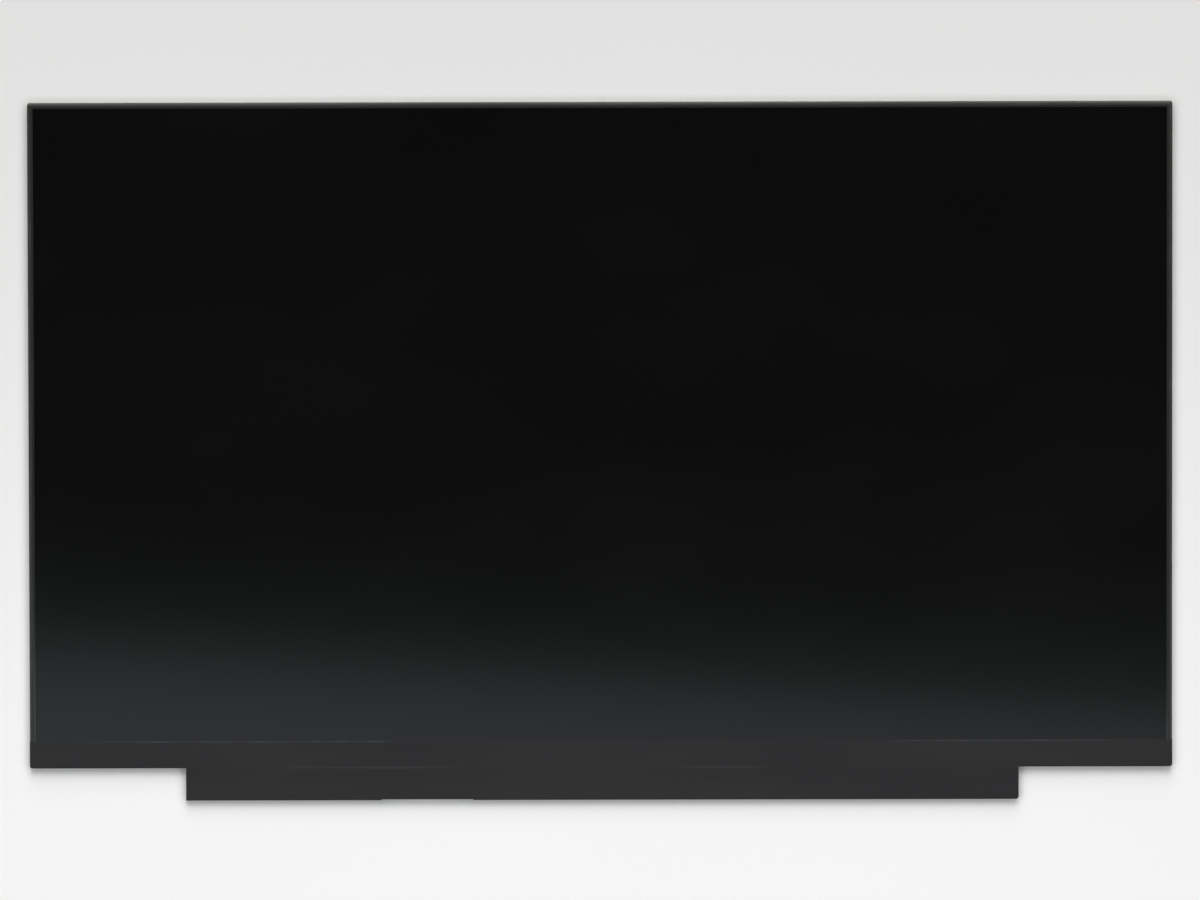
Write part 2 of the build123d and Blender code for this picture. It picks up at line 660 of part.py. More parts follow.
def socket_shell():
    """Folded metal shell over the socket, with side walls down to the board and two latch holes."""
    inner = SOCKET_WIDTH / 2 + SHELL_FIT
    outer = inner + SHELL_SHEET
    roof = BOARD_REAR_Z - SOCKET_HEIGHT
    low = roof - SHELL_SHEET
    profile = section(
        [
            (-outer, BOARD_REAR_Z),
            (-outer, low),
            (outer, low),
            (outer, BOARD_REAR_Z),
            (inner, BOARD_REAR_Z),
            (inner, roof),
            (-inner, roof),
            (-inner, BOARD_REAR_Z),
        ],
        [((-outer, low), SHELL_BEND), ((outer, low), SHELL_BEND)],
    )
    shell_back = SOCKET_REAR - SHELL_SHORT
    shell = Pos(SOCKET_X, 0, 0) * along_y(profile, SOCKET_FRONT, shell_back)
    middle = (SOCKET_FRONT + shell_back) / 2
    for x in spread(2, LATCH_SPREAD, SOCKET_X):
        shell -= Pos(x, middle, roof) * Box(LATCH_WIDTH, LATCH_HEIGHT, 2 * SHELL_SHEET)
    return shell


PARTS = {
    "back_plate": back_plate(),
    "reflector_sheet": reflector_sheet(),
    "light_guide": light_guide(),
    "diffuser_sheet": optical_sheet(DIFFUSER_Z, DIFFUSER_SHEET),
    "lower_prism_sheet": optical_sheet(LOWER_PRISM_Z, PRISM_SHEET),
    "upper_prism_sheet": optical_sheet(UPPER_PRISM_Z, PRISM_SHEET),
    "led_flex": led_flex(),
    "leds": leds(),
    "mid_frame": mid_frame(),
    "cell_tape": cell_tape(),
    "rear_polariser": rear_polariser(),
    "array_glass": array_glass(),
    "filter_glass": filter_glass(),
    "front_polariser": front_polariser(),
    "driver_films": driver_films(),
    "driver_chips": driver_chips(),
    "control_board": control_board(),
    "timing_chip": board_part(TIMING_X, TIMING_SIZE, TIMING_SIZE, TIMING_HEIGHT),
    "power_chip": board_part(POWER_X, POWER_SIZE, POWER_SIZE, POWER_HEIGHT),
    "backlight_chip": board_part(BACKLIGHT_X, BACKLIGHT_SIZE, BACKLIGHT_SIZE, BACKLIGHT_HEIGHT),
    "memory_chip": board_part(MEMORY_X, MEMORY_WIDTH, MEMORY_DEPTH, MEMORY_HEIGHT),
    "inductors": inductors(),
    "capacitors": capacitors(),
    "resistors": resistors(),
    "socket_body": socket_body(),
    "socket_shell": socket_shell(),
    "socket_contacts": socket_contacts(),
    "cover_tape": cover_tape(),
}

os.makedirs("parts", exist_ok=True)
for name, shape in PARTS.items():
    solids = Compound(children=shape) if isinstance(shape, list) else shape
    export_step(solids, f"parts/{name}.step")
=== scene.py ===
# Looks of a laptop screen panel that lies on its back, seen from above and a little from its upper side.
# Units are metres, in the panel's own frame: +X right, +Y to the top of the picture, +Z out of the screen.
# Sizes inside the materials are millimetres.
import math
from functools import partial, reduce

import bmesh
import bpy
from mathutils import Matrix, Vector, noise


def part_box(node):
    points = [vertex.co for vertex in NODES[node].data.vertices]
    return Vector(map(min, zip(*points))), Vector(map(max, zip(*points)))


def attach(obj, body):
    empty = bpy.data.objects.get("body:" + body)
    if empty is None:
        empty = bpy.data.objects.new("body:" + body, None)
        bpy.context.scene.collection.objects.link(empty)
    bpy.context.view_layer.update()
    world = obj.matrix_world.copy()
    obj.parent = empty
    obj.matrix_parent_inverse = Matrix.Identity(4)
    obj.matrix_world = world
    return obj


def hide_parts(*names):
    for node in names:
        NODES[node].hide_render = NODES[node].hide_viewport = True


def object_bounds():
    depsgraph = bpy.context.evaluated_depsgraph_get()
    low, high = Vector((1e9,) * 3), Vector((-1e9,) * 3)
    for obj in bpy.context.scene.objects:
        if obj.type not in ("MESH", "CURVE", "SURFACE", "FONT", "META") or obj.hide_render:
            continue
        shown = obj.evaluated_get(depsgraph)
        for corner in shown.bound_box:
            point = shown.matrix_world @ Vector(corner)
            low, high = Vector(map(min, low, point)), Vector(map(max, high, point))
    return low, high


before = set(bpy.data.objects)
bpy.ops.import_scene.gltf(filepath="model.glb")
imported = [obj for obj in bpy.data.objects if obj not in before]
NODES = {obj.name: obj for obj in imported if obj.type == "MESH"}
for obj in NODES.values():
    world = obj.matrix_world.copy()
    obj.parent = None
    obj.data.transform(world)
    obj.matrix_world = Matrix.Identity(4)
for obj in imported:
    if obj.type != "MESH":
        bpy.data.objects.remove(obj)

MM = 0.001
CAD_LOW, CAD_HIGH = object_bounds()
FRAME_LOW, FRAME_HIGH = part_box("mid_frame")
TAPE_LOW, TAPE_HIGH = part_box("cover_tape")
BOARD_LOW, BOARD_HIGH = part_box("control_board")
FILMS_LOW, FILMS_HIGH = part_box("driver_films")
CONTACTS_LOW, CONTACTS_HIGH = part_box("socket_contacts")
SHELL_LOW, SHELL_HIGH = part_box("socket_shell")

# The photograph's frame and where the panel lies in it, in pixels, and the panel's turn in it, in degrees
IMAGE_WIDTH = 1200
IMAGE_HEIGHT = 900
PANEL_LEFT = 28.6
PANEL_RIGHT = 1172.2
PANEL_MIDDLE_Y = 452.1
PANEL_ROLL = 0.12

# The photograph was taken from far away and a little from the panel's upper side
CAMERA_DISTANCE = 9.0
CAMERA_TILT = 8.6
SENSOR_WIDTH = 36.0

# Marks on the cover tape: the ends along X of its creases at the body's lower edge, which get a painted
# highlight mixed with whitening by wear, and of the stretches of its upper edge where its painted highlight
# is strongest, and the stretch of its noise, which varies along X alone
CREASES = [(-104.0 * MM, -37.0 * MM), (17.0 * MM, 55.0 * MM)]
HIGHLIT_EDGES = [(-162.0 * MM, -58.0 * MM), (86.0 * MM, 162.0 * MM)]
SPAN_END = 15.0 * MM
CREASE_WIDTH = 0.35 * MM
STREAK_STRETCH = (3, 400, 400)

# Socket contacts: every third one is a ground
CONTACT_COUNT = 30
CONTACT_WIDTH = 0.2 * MM
CONTACT_FOOT = 0.7 * MM
GROUND_STEP = 3
TRACK_RISE = 0.02 * MM


def principled(name, **values):
    """A material whose shader sockets hold these constant values."""
    material = bpy.data.materials.new(name)
    material.use_nodes = True
    shader = material.node_tree.nodes["Principled BSDF"]
    for socket, value in values.items():
        shader.inputs[socket.replace("_", " ")].default_value = value
    return material, material.node_tree, shader


def place(tree, stretch=(1, 1, 1)):
    """Position in the panel's frame, in millimetres, squeezed by the stretch along each axis."""
    coordinates = tree.nodes.new("ShaderNodeTexCoord")
    mapping = tree.nodes.new("ShaderNodeMapping")
    mapping.inputs["Scale"].default_value = [1 / MM / part for part in stretch]
    tree.links.new(coordinates.outputs["Object"], mapping.inputs["Vector"])
    return mapping.outputs["Vector"]


def grain(tree, size, stretch=(1, 1, 1), detail=3.0):
    """Noise from 0 to 1 with features of this size in millimetres."""
    texture = tree.nodes.new("ShaderNodeTexNoise")
    texture.inputs["Scale"].default_value = 1 / size
    texture.inputs["Detail"].default_value = detail
    tree.links.new(place(tree, stretch), texture.inputs["Vector"])
    return texture.outputs["Fac"]


def coordinate(tree, axis):
    """One coordinate of the position, in millimetres."""
    split = tree.nodes.new("ShaderNodeSeparateXYZ")
    tree.links.new(place(tree), split.inputs["Vector"])
    return split.outputs[axis]


def remap(tree, value, low, high, to_low=0.0, to_high=1.0):
    """A value moved smoothly from one range to another and held at its ends."""
    node = tree.nodes.new("ShaderNodeMapRange")
    node.interpolation_type = "SMOOTHSTEP"
    for socket, number in zip(("From Min", "From Max", "To Min", "To Max"), (low, high, to_low, to_high)):
        node.inputs[socket].default_value = number
    tree.links.new(value, node.inputs["Value"])
    return node.outputs["Result"]


def combine(tree, operation, first, second):
    """Two values put together by this operation."""
    node = tree.nodes.new("ShaderNodeMath")
    node.operation = operation
    tree.links.new(first, node.inputs[0])
    tree.links.new(second, node.inputs[1])
    return node.outputs["Value"]


def times(tree, first, second):
    """The product of two values."""
    return combine(tree, "MULTIPLY", first, second)


def plus(tree, first, second):
    """The sum of two values."""
    return combine(tree, "ADD", first, second)


def band(tree, value, start, full_from, full_to, end):
    """1 over part of a range and 0 outside it, with soft ends."""
    return times(tree, remap(tree, value, start, full_from), remap(tree, value, end, full_to))


def tint(tree, factor, low, high):
    """A colour between two others; each may be a colour or the result of another tint."""
    node = tree.nodes.new("ShaderNodeMix")
    node.data_type = "RGBA"
    tree.links.new(factor, node.inputs["Factor"])
    for socket, colour in ((node.inputs[6], low), (node.inputs[7], high)):
        if isinstance(colour, bpy.types.NodeSocket):
            tree.links.new(colour, socket)
        else:
            socket.default_value = (*colour, 1.0)
    return node.outputs[2]


def relief(tree, shader, height, depth):
    """Fine relief of this depth in millimetres."""
    node = tree.nodes.new("ShaderNodeBump")
    node.inputs["Distance"].default_value = depth * MM
    tree.links.new(height, node.inputs["Height"])
    tree.links.new(node.outputs["Normal"], shader.inputs["Normal"])


def screen_material():
    """Black anti-glare film: fine grain and faint wiping marks."""
    mark_size, mark_stretch, mark_range = 45.0, (2.2, 1, 1), (0.35, 0.75)
    grain_size, grain_depth = 0.08, 0.0015
    black, wiped_black = (0.0032, 0.0034, 0.0032), (0.0040, 0.0042, 0.0039)
    roughness = (0.155, 0.168)
    material, tree, shader = principled("screen_film", IOR=1.5, Specular_IOR_Level=0.3)
    wiped = remap(tree, grain(tree, mark_size, mark_stretch), *mark_range)
    tree.links.new(tint(tree, wiped, black, wiped_black), shader.inputs["Base Color"])
    tree.links.new(remap(tree, wiped, 0, 1, *roughness), shader.inputs["Roughness"])
    relief(tree, shader, grain(tree, grain_size, detail=1.0), grain_depth)
    return material


def along_spans(tree, spans):
    """1 along each of these spans of X, with soft ends, and 0 between them."""
    shown = []
    for low, high in spans:
        ends = [end / MM for end in (low, low + SPAN_END, high - SPAN_END, high)]
        shown.append(band(tree, coordinate(tree, "X"), *ends))
    return reduce(partial(plus, tree), shown)


def creases_worn_and_highlit(tree, colour):
    """The tape's colour, painted paler along its creases on the front: a painted highlight on each ridge,
    mixed with whitening by wear.
    """
    reach = 0.6
    front_soft = 0.1
    crease_streak_length, crease_streak_range, crease_streak_shown = 9.0, (0.3, 0.65), (0.2, 1.0)
    worn_highlight_grey = (0.029, 0.029, 0.0305)
    crease_y = FRAME_LOW.y / MM
    front_z = BOARD_LOW.z / MM
    # Painted highlight: the crease ridges are painted paler, in streaks, mixed with whitening by wear.
    ridge = band(tree, coordinate(tree, "Y"), crease_y - reach, crease_y, crease_y, crease_y + reach)
    front = remap(tree, coordinate(tree, "Z"), front_z, front_z + front_soft)
    crease_streaks = remap(tree, grain(tree, crease_streak_length, STREAK_STRETCH, detail=5.0), *crease_streak_range, *crease_streak_shown)
    worn_highlight = times(tree, times(tree, ridge, front), times(tree, crease_streaks, along_spans(tree, CREASES)))
    return tint(tree, worn_highlight, colour, worn_highlight_grey)


def edge_highlight_and_specks(tree, colour):
    """The tape's colour with a thin specked pale line along its upper edge: a painted highlight on the edge,
    broken by dust specks, strongest along the listed stretches.
    """
    line_width, line_inset = 0.4, 0.05
    speck_length, speck_range, speck_shown = 2.0, (0.4, 0.66), (0.35, 1.0)
    faint_line_share = 0.12
    edge_highlight_grey = (0.064, 0.065, 0.067)
    edge_y = TAPE_HIGH.y / MM - line_inset
    # Painted highlight: a thin pale line painted along the tape's upper edge, broken into dust specks.
    highlit_edge = remap(tree, coordinate(tree, "Y"), edge_y - line_width, edge_y)
    specks = remap(tree, grain(tree, speck_length, STREAK_STRETCH, detail=5.0), *speck_range, *speck_shown)
    shown = remap(tree, along_spans(tree, HIGHLIT_EDGES), 0, 1, faint_line_share, 1.0)
    return tint(tree, times(tree, highlit_edge, times(tree, specks, shown)), colour, edge_highlight_grey)


def tape_material():
    """Matte black plastic tape: cloudy sheen, and a painted highlight along its upper edge and its creases,
    mixed with dust specks and wear.
    """
    cloud_size, cloud_stretch, cloud_range = 30.0, (3, 1, 1), (0.3, 0.7)
    grain_size, grain_stretch, grain_depth = 0.35, (1.5, 1, 1), 0.004
    dark, pale = (0.0144, 0.0144, 0.0152), (0.0198, 0.0198, 0.0208)
    roughness = (0.50, 0.58)
    material, tree, shader = principled("cover_tape", IOR=1.45, Specular_IOR_Level=0.3)
    cloudy = remap(tree, grain(tree, cloud_size, cloud_stretch, detail=5.0), *cloud_range)
    colour = creases_worn_and_highlit(tree, edge_highlight_and_specks(tree, tint(tree, cloudy, dark, pale)))
    tree.links.new(colour, shader.inputs["Base Color"])
    tree.links.new(remap(tree, cloudy, 0, 1, *roughness), shader.inputs["Roughness"])
    relief(tree, shader, grain(tree, grain_size, grain_stretch, detail=4.0), grain_depth)
    return material


def frame_material():
    """Dark grey moulded plastic with a fine spark texture, pale scuffs and a top edge painted paler: a
    painted highlight, in streaks like wear.
    """
    scuff_size, scuff_stretch, scuff_range = 5.0, (6, 2, 1), (0.56, 0.74)
    highlight_streak_size, highlight_streak_stretch, highlight_streak_range, highlight_streak_shown = 14.0, (5, 1, 1), (0.3, 0.62), (0.25, 1.0)
    highlight_start, highlight_full = 0.9, 0.1
    spark_size, spark_depth = 0.12, 0.006
    grey, scuffed, worn_highlight_grey = (0.030, 0.0315, 0.027), (0.045, 0.047, 0.042), (0.058, 0.060, 0.057)
    roughness = (0.46, 0.6)
    top_y = FRAME_HIGH.y / MM
    material, tree, shader = principled("mid_frame", IOR=1.5, Specular_IOR_Level=0.3)
    scuffs = remap(tree, grain(tree, scuff_size, scuff_stretch, detail=6.0), *scuff_range)
    # Painted highlight: the top edge is painted paler, as if lit from above, broken into streaks like wear.
    highlit_top_edge = remap(tree, coordinate(tree, "Y"), top_y - highlight_start, top_y - highlight_full)
    worn_highlight = remap(tree, grain(tree, highlight_streak_size, highlight_streak_stretch, detail=6.0), *highlight_streak_range, *highlight_streak_shown)
    colour = tint(tree, times(tree, highlit_top_edge, worn_highlight), tint(tree, scuffs, grey, scuffed), worn_highlight_grey)
    tree.links.new(colour, shader.inputs["Base Color"])
    tree.links.new(remap(tree, scuffs, 0, 1, *roughness), shader.inputs["Roughness"])
    relief(tree, shader, grain(tree, spark_size), spark_depth)
    return material


def glass_material():
    """Polished glass over a printed black border."""
    cloud_size = 12.0
    dark, pale = (0.022, 0.024, 0.023), (0.028, 0.030, 0.029)
    material, tree, shader = principled("cell_glass", Roughness=0.12, IOR=1.52, Specular_IOR_Level=0.3)
    tree.links.new(tint(tree, grain(tree, cloud_size), dark, pale), shader.inputs["Base Color"])
    return material


def plate_material():
    """Rolled aluminium sheet: long fine grain along X, handling marks."""
    line_width, line_stretch, line_depth = 0.25, (160, 1, 1), 0.004
    mark_size, mark_stretch, mark_range = 22.0, (3, 1, 1), (0.35, 0.8)
    dark, bright, marked = (0.60, 0.605, 0.61), (0.74, 0.745, 0.75), (0.64, 0.64, 0.635)
    roughness = (0.36, 0.41)
    material, tree, shader = principled("back_plate", Metallic=1.0)
    rolled = grain(tree, line_width, line_stretch, detail=5.0)
    marks = remap(tree, grain(tree, mark_size, mark_stretch, detail=6.0), *mark_range)
    colour = tint(tree, marks, tint(tree, rolled, dark, bright), marked)
    tree.links.new(colour, shader.inputs["Base Color"])
    tree.links.new(remap(tree, marks, 0, 1, *roughness), shader.inputs["Roughness"])
    relief(tree, shader, rolled, line_depth)
    return material


def film_material(name, low, high, roughness):
    """Plain plastic film or sheet with a faint cloudiness."""
    cloud_size = 7.0
    grain_size = 0.2
    grain_depth = 0.002
    material, tree, shader = principled(name, Roughness=roughness, IOR=1.5)
    tree.links.new(tint(tree, grain(tree, cloud_size), low, high), shader.inputs["Base Color"])
    relief(tree, shader, grain(tree, grain_size), grain_depth)
    return material


def board_material():
    """Green solder mask over copper planes, with the weave of the glass cloth showing through."""
    plane_shape = {"Scale": 1.0, "Brick Width": 9.0, "Row Height": 5.2, "Mortar Size": 0.14}
    plane_offset = 0.35
    plane_depth = 0.012
    thread, thread_stretch, weave_range = 0.25, 6, (0.1, 0.45)
    mask, woven_mask, bare_mask = (0.012, 0.105, 0.050), (0.020, 0.140, 0.068), (0.006, 0.060, 0.030)
    material, tree, shader = principled("control_board", Roughness=0.3, IOR=1.5)
    planes = tree.nodes.new("ShaderNodeTexBrick")
    planes.offset = plane_offset
    for socket, value in plane_shape.items():
        planes.inputs[socket].default_value = value
    tree.links.new(place(tree), planes.inputs["Vector"])
    warp = grain(tree, thread, (thread_stretch, 1, 1), detail=1.0)
    weft = grain(tree, thread, (1, thread_stretch, 1), detail=1.0)
    weave = remap(tree, times(tree, warp, weft), *weave_range)
    colour = tint(tree, planes.outputs["Fac"], tint(tree, weave, mask, woven_mask), bare_mask)
    tree.links.new(colour, shader.inputs["Base Color"])
    relief(tree, shader, remap(tree, planes.outputs["Fac"], 0, 1, 1, 0), plane_depth)
    return material


def metal_material(name, low, high, roughness):
    """Plated metal with fine drawing lines."""
    line_width = 0.1
    line_stretch = 12
    line_depth = 0.003
    material, tree, shader = principled(name, Metallic=1.0, Roughness=roughness)
    drawn = grain(tree, line_width, (line_stretch, 1, 1), detail=4.0)
    tree.links.new(tint(tree, drawn, low, high), shader.inputs["Base Color"])
    relief(tree, shader, drawn, line_depth)
    return material


def dress_nodes():
    """Gives every CAD node its finish."""
    clear = film_material("optical_film", (0.62, 0.64, 0.66), (0.74, 0.76, 0.77), 0.25)
    chip = film_material("chip_package", (0.016, 0.016, 0.017), (0.026, 0.026, 0.027), 0.5)
    glass = glass_material()
    finishes = {
        "back_plate": plate_material(),
        "reflector_sheet": film_material("reflector", (0.84, 0.84, 0.83), (0.90, 0.90, 0.89), 0.5),
        "light_guide": film_material("light_guide", (0.66, 0.70, 0.71), (0.76, 0.80, 0.81), 0.1),
        "diffuser_sheet": film_material("diffuser", (0.78, 0.78, 0.77), (0.86, 0.86, 0.85), 0.6),
        "lower_prism_sheet": clear,
        "upper_prism_sheet": clear,
        "led_flex": film_material("led_flex", (0.66, 0.65, 0.60), (0.76, 0.75, 0.70), 0.45),
        "leds": film_material("led_package", (0.80, 0.74, 0.46), (0.88, 0.84, 0.60), 0.35),
        "mid_frame": frame_material(),
        "cell_tape": film_material("cell_tape", (0.014, 0.014, 0.014), (0.022, 0.022, 0.022), 0.6),
        "rear_polariser": film_material("rear_film", (0.02, 0.02, 0.022), (0.03, 0.03, 0.032), 0.3),
        "array_glass": glass,
        "filter_glass": glass,
        "front_polariser": screen_material(),
        "driver_films": film_material("driver_film", (0.22, 0.12, 0.03), (0.30, 0.17, 0.05), 0.3),
        "driver_chips": chip,
        "control_board": board_material(),
        "timing_chip": chip,
        "power_chip": chip,
        "backlight_chip": chip,
        "memory_chip": chip,
        "inductors": film_material("inductor_core", (0.07, 0.07, 0.072), (0.11, 0.11, 0.112), 0.55),
        "capacitors": film_material("capacitor_body", (0.36, 0.26, 0.17), (0.46, 0.34, 0.23), 0.4),
        "resistors": film_material("resistor_body", (0.02, 0.02, 0.024), (0.035, 0.035, 0.04), 0.35),
        "socket_body": film_material("socket_body", (0.66, 0.62, 0.52), (0.76, 0.72, 0.62), 0.45),
        "socket_shell": metal_material("socket_shell", (0.58, 0.58, 0.57), (0.72, 0.72, 0.71), 0.28),
        "socket_contacts": metal_material("socket_contacts", (0.74, 0.54, 0.20), (0.86, 0.66, 0.30), 0.25),
        "cover_tape": tape_material(),
    }
    for node, material in finishes.items():
        NODES[node].data.materials.clear()
        NODES[node].data.materials.append(material)
    return finishes


def sliced_copy(node, x_step, y_step):
    """The node's own form as a mesh with close, even cuts, so that it can be creased."""
    nearness = 0.001 * MM
    mesh = bmesh.new()
    mesh.from_mesh(NODES[node].data)
    bmesh.ops.remove_doubles(mesh, verts=mesh.verts, dist=nearness)
    low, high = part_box(node)
    for axis, step in ((0, x_step), (1, y_step)):
        normal = Vector((0, 0, 0))
        normal[axis] = 1
        count = int((high[axis] - low[axis]) / step)
        for index in range(1, count):
            point = Vector(low)
            point[axis] += index * step
            everything = mesh.verts[:] + mesh.edges[:] + mesh.faces[:]
            bmesh.ops.bisect_plane(mesh, geom=everything, plane_co=point, plane_no=normal, dist=nearness)
    bmesh.ops.dissolve_degenerate(mesh, dist=nearness, edges=mesh.edges)
    return mesh


def finish_piece(name, mesh, material):
    """A new object from a mesh, with smooth faces between sharp edges."""
    sharp = math.radians(30)
    data = bpy.data.meshes.new(name)
    mesh.to_mesh(data)
    mesh.free()
    data.materials.append(material)
    data.shade_smooth()
    data.set_sharp_from_angle(angle=sharp)
    piece = bpy.data.objects.new(name, data)
    bpy.context.scene.collection.objects.link(piece)
    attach(piece, "root")
    return piece


def smooth_step(value):
    """0 up to 0, 1 from 1 on, and an even curve between."""
    held = min(max(value, 0.0), 1.0)
    return held * held * (3 - 2 * held)


def window(value, low, high, soft):
    """1 between two limits and 0 outside them, with soft ends."""
    return smooth_step((value - low) / soft) * smooth_step((high - value) / soft)


def film_support(x):
    """1 over the driver films and 0 between them."""
    film_count = 4
    film_width = 44.0 * MM
    soft = 2.0 * MM
    pitch = (FILMS_HIGH.x - FILMS_LOW.x - film_width) / (film_count - 1)
    starts = [FILMS_LOW.x + index * pitch for index in range(film_count)]
    return sum(window(x, start, start + film_width, soft) for start in starts)


def creased_tape(material):
    """The cover tape, drawn in an even curve over the edge under it, with slow waves and faint tents."""
    x_step, y_step = 1.5 * MM, 0.25 * MM
    brow = FRAME_LOW.y + 0.2 * MM
    cad_run = 3.0 * MM
    curve_start = brow + 0.8 * MM
    curve_run = 7.0 * MM
    drop = 0.32 * MM
    wave, flap_wave = 0.012 * MM, 0.008 * MM
    wave_length, wave_width, wave_seed = 18.0 * MM, 5.0 * MM, 3.7
    sag = 0.03 * MM
    sag_low, sag_high, sag_soft = TAPE_LOW.y + 0.4 * MM, brow - 2.0 * MM, 2.0 * MM
    tent_height = 0.05 * MM
    fold = 0.1 * MM
    mesh = sliced_copy("cover_tape", x_step, y_step)
    for vertex in mesh.verts:
        x, y, z = vertex.co
        slow = noise.noise(Vector((x / wave_length, y / wave_width, wave_seed)))
        if z > BOARD_LOW.z:
            lift = wave * slow
            if BOARD_LOW.x < x < BOARD_HIGH.x:
                cad_fall = min(max((brow - y) / cad_run, 0.0), 1.0)
                lift += drop * (cad_fall - smooth_step((curve_start - y) / curve_run))
                lift -= sag * (1 - film_support(x)) * window(y, sag_low, sag_high, sag_soft)
            tent = sum(window(x, low, high, SPAN_END) for low, high in CREASES)
            lift += tent_height * tent * math.exp(-(((y - FRAME_LOW.y) / CREASE_WIDTH) ** 2))
            vertex.co.z = min(z + lift, TAPE_HIGH.z + tent_height)
        elif y > TAPE_LOW.y + fold:
            vertex.co.z += flap_wave * slow
    piece = finish_piece("creased_cover_tape", mesh, material)
    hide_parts("cover_tape")


def prism(mesh, base, top):
    """A closed solid between two rings of points."""
    lower = [mesh.verts.new(point) for point in base]
    upper = [mesh.verts.new(point) for point in top]
    count = len(lower)
    mesh.faces.new(lower)
    mesh.faces.new(upper[::-1])
    for index in range(count):
        after = (index + 1) % count
        mesh.faces.new((lower[after], lower[index], upper[index], upper[after]))


def rectangle(x, y, width, length, z):
    """The corners of a rectangle round a point."""
    across, along = width / 2, length / 2
    return [(x - across, y - along, z), (x + across, y - along, z),
            (x + across, y + along, z), (x - across, y + along, z)]


def circle(x, y, radius, z, count=20):
    """Points round a circle."""
    turns = [2 * math.pi * index / count for index in range(count)]
    return [(x + radius * math.cos(turn), y + radius * math.sin(turn), z) for turn in turns]


def via(mesh, x, y, face):
    """A plated ring round a hole in the board."""
    outer, inner, proud = 0.22 * MM, 0.11 * MM, 0.02 * MM
    rings = [circle(x, y, radius, z) for radius, z in
             ((outer, face), (outer, face - proud), (inner, face - proud), (inner, face))]
    points = [[mesh.verts.new(point) for point in ring] for ring in rings]
    count = len(points[0])
    for ring in range(len(points)):
        near, far = points[ring], points[(ring + 1) % len(points)]
        for index in range(count):
            after = (index + 1) % count
            mesh.faces.new((near[index], near[after], far[after], far[index]))


def contact_places():
    """The middle of each socket contact along X, and whether it is a ground."""
    first = CONTACTS_LOW.x + CONTACT_WIDTH / 2
    pitch = (CONTACTS_HIGH.x - CONTACTS_LOW.x - CONTACT_WIDTH) / (CONTACT_COUNT - 1)
    return [(first + index * pitch, index % GROUND_STEP == GROUND_STEP - 1) for index in range(CONTACT_COUNT)]


def shell_walls():
    """The two side walls of the socket's shell: the way out from each, and its place along X."""
    return (-1, SHELL_LOW.x), (1, SHELL_HIGH.x)


def socket_solder():
    """Solder round the contacts' feet and at the shell's side walls."""
    foot_base, foot_top, foot_rise = (0.34 * MM, 1.0 * MM), (0.22 * MM, 0.74 * MM), 0.06 * MM
    wall_base, wall_top, wall_rise = (0.62 * MM, 0.9 * MM), (0.1 * MM, 0.6 * MM), 0.3 * MM
    base_out, top_out = 0.3 * MM, 0.06 * MM
    wall_shares = (0.3, 0.75)
    face = BOARD_LOW.z
    foot_y = CONTACTS_HIGH.y - CONTACT_FOOT / 2
    mesh = bmesh.new()
    for x, _ in contact_places():
        prism(mesh, rectangle(x, foot_y, *foot_base, face), rectangle(x, foot_y, *foot_top, face - foot_rise))
    for side, wall in shell_walls():
        for share in wall_shares:
            y = SHELL_LOW.y + share * (SHELL_HIGH.y - SHELL_LOW.y)
            prism(mesh, rectangle(wall + side * base_out, y, *wall_base, face),
                  rectangle(wall + side * top_out, y, *wall_top, face - wall_rise))
    return mesh


def board_tracks():
    """Tracks from the contacts' feet up the board, wider for the grounds."""
    signal_width, ground_width, top_share = 0.14 * MM, 0.26 * MM, 0.8
    length = 2.4 * MM
    face = BOARD_LOW.z
    middle = CONTACTS_HIGH.y + length / 2
    mesh = bmesh.new()
    for x, ground in contact_places():
        width = ground_width if ground else signal_width
        prism(mesh, rectangle(x, middle, width, length, face),
              rectangle(x, middle, width * top_share, length, face - TRACK_RISE))
    return mesh


def board_pads():
    """Vias on the ground tracks, and test pads and a row of vias on both sides of the socket."""
    ground_via = 0.75 * MM
    pad_radius, pad_share, pad_rise = 0.45 * MM, 0.94, 0.03 * MM
    pad_places = [(2.2 * MM, 1.0 * MM), (3.3 * MM, 3.2 * MM)]
    row_start, row_pitch, row_count, row_up = 1.4 * MM, 0.55 * MM, 5, 4.9 * MM
    face = BOARD_LOW.z
    mesh = bmesh.new()
    for x, ground in contact_places():
        if ground:
            via(mesh, x, CONTACTS_HIGH.y + ground_via, face - TRACK_RISE)
    for side, wall in shell_walls():
        for away, up in pad_places:
            x, y = wall + side * away, SHELL_LOW.y + up
            prism(mesh, circle(x, y, pad_radius, face), circle(x, y, pad_radius * pad_share, face - pad_rise))
        for index in range(row_count):
            via(mesh, wall + side * (row_start + index * row_pitch), SHELL_LOW.y + row_up, face)
    return mesh


def board_details(finishes):
    """Solder, tracks, vias and test pads round the socket, where the tape leaves the board bare."""
    tin = metal_material("solder", (0.56, 0.56, 0.55), (0.70, 0.70, 0.69), 0.3)
    for name, mesh, material, slot in (
        ("socket_solder", socket_solder(), tin, "shell_steel"),
        ("board_tracks", board_tracks(), finishes["control_board"], "board_green"),
        ("board_pads", board_pads(), finishes["socket_contacts"], "contact_gold"),
    ):
        bmesh.ops.recalc_face_normals(mesh, faces=mesh.faces)
        finish_piece(name, mesh, material)


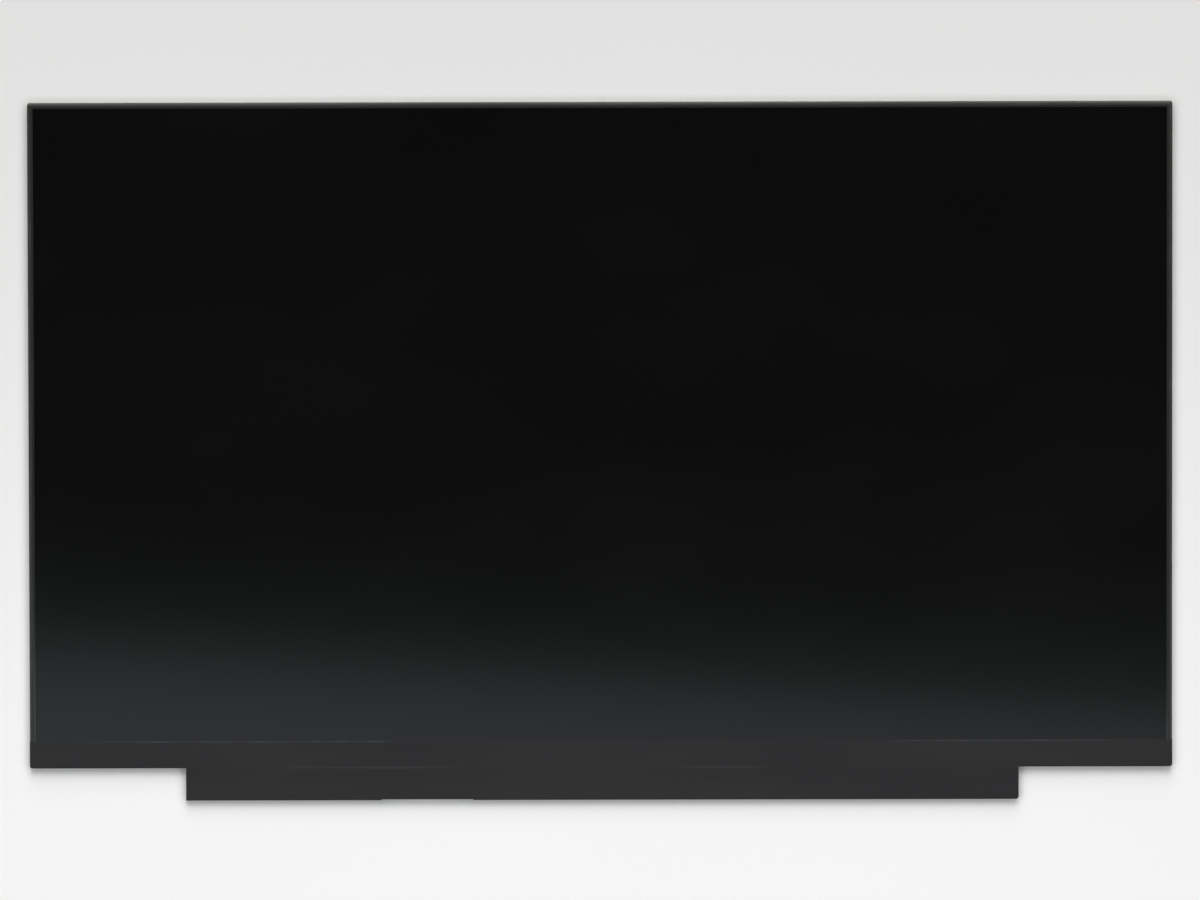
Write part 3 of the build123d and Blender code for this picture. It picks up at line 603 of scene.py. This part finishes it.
def floor():
    """Plain pale floor just under the panel, painted a little paler towards the panel's foot as painted
    light.
    """
    size = 24.0
    gap = 0.02 * MM
    fade = 130.0
    cloud_size, cloud_share = 160.0, 0.3
    top_tone, painted_light_foot_tone, cloud_tone = (0.77, 0.765, 0.757), (0.87, 0.865, 0.855), (0.81, 0.805, 0.796)
    bpy.ops.mesh.primitive_plane_add(size=size, location=(0, 0, CAD_LOW.z - gap))
    surface = bpy.context.object
    surface.name = "floor"
    material, tree, shader = principled("floor", Roughness=1.0, Specular_IOR_Level=0.0)
    # Painted light: the floor is painted paler towards the panel's foot, as if lit more there.
    foot = remap(tree, coordinate(tree, "Y"), fade, -fade)
    colour = tint(tree, foot, top_tone, painted_light_foot_tone)
    cloudy = remap(tree, grain(tree, cloud_size, detail=2.0), 0, 1, 0, cloud_share)
    tree.links.new(tint(tree, cloudy, colour, cloud_tone), shader.inputs["Base Color"])
    surface.data.materials.append(material)


def softbox(name, centre, target, size, radiance, colour, spin):
    """A rectangular lamp that faces a target, with this brightness on its face."""
    lamp = bpy.data.lights.new(name, "AREA")
    lamp.shape = "RECTANGLE"
    lamp.size, lamp.size_y = size
    lamp.energy = 4 * radiance * size[0] * size[1]
    lamp.color = colour
    aim = (Vector(target) - Vector(centre)).to_track_quat("-Z", "Y").to_matrix().to_4x4()
    holder = bpy.data.objects.new(name, lamp)
    holder.matrix_world = Matrix.Translation(centre) @ aim @ Matrix.Rotation(math.radians(spin), 4, "Z")
    holder.visible_camera = False
    bpy.context.scene.collection.objects.link(holder)


def foot_lamp():
    """A dim lamp over the panel's foot, which the lower third of the screen shows as a soft sheen."""
    y, height = -0.2044, 0.4
    size = (0.72, 0.14)
    radiance, colour = 1.05, (0.88, 0.94, 1.0)
    spin = -3.4
    softbox("foot_panel", (0.0, y, height), (0.0, y, 0.0), size, radiance, colour, spin)


def key_lamp():
    """A broad low key from past the top of the picture, which casts soft shadows and shows in no gloss."""
    strength = 2.15
    elevation, spread = math.radians(30), math.radians(40)
    lamp = bpy.data.lights.new("key", "SUN")
    lamp.energy = strength
    lamp.angle = spread
    holder = bpy.data.objects.new("key", lamp)
    way = Vector((0, -math.cos(elevation), -math.sin(elevation)))
    holder.matrix_world = way.to_track_quat("-Z", "Y").to_matrix().to_4x4()
    holder.visible_glossy = False
    bpy.context.scene.collection.objects.link(holder)


def sky():
    """A soft ring of sky, brightest past the top of the picture, and ground as pale as the floor."""
    ring_heights = (0.46, 0.68, 0.78, 0.92)
    foot_light, top_light = 0.30, 2.6
    ground_light, ground_edge = 0.8, 0.05
    world = bpy.data.worlds.new("studio")
    world.use_nodes = True
    tree = world.node_tree
    coordinates = tree.nodes.new("ShaderNodeTexCoord")
    split = tree.nodes.new("ShaderNodeSeparateXYZ")
    tree.links.new(coordinates.outputs["Generated"], split.inputs["Vector"])
    along, height = split.outputs["Y"], split.outputs["Z"]
    ring = band(tree, height, *ring_heights)
    ring = times(tree, ring, remap(tree, along, -1.0, 1.0, foot_light, top_light))
    ground = remap(tree, height, ground_edge, 0.0, 0.0, ground_light)
    background = tree.nodes["Background"]
    background.inputs["Color"].default_value = (1.0, 1.0, 1.0, 1.0)
    tree.links.new(plus(tree, ring, ground), background.inputs["Strength"])
    bpy.context.scene.world = world


def camera():
    """Above the panel, framed as the photograph."""
    pixel = (FRAME_HIGH.x - FRAME_LOW.x) / (PANEL_RIGHT - PANEL_LEFT)
    tilt = math.radians(CAMERA_TILT)
    middle_x = (PANEL_LEFT + PANEL_RIGHT - IMAGE_WIDTH) / 2
    middle_y = PANEL_MIDDLE_Y - IMAGE_HEIGHT / 2
    target = Vector((-middle_x * pixel, middle_y * pixel / math.cos(tilt), FRAME_HIGH.z))
    data = bpy.data.cameras.new("camera")
    data.sensor_width = SENSOR_WIDTH
    data.lens = SENSOR_WIDTH * CAMERA_DISTANCE / (IMAGE_WIDTH * pixel)
    holder = bpy.data.objects.new("camera", data)
    turn = Matrix.Rotation(-tilt, 4, "X") @ Matrix.Rotation(-math.radians(PANEL_ROLL), 4, "Z")
    holder.matrix_world = Matrix.Translation(target) @ turn @ Matrix.Translation((0, 0, CAMERA_DISTANCE))
    bpy.context.scene.collection.objects.link(holder)
    bpy.context.scene.camera = holder


finishes = dress_nodes()
creased_tape(finishes["cover_tape"])
board_details(finishes)
floor()
foot_lamp()
key_lamp()
sky()
camera()
bpy.context.scene.view_settings.view_transform = "Standard"
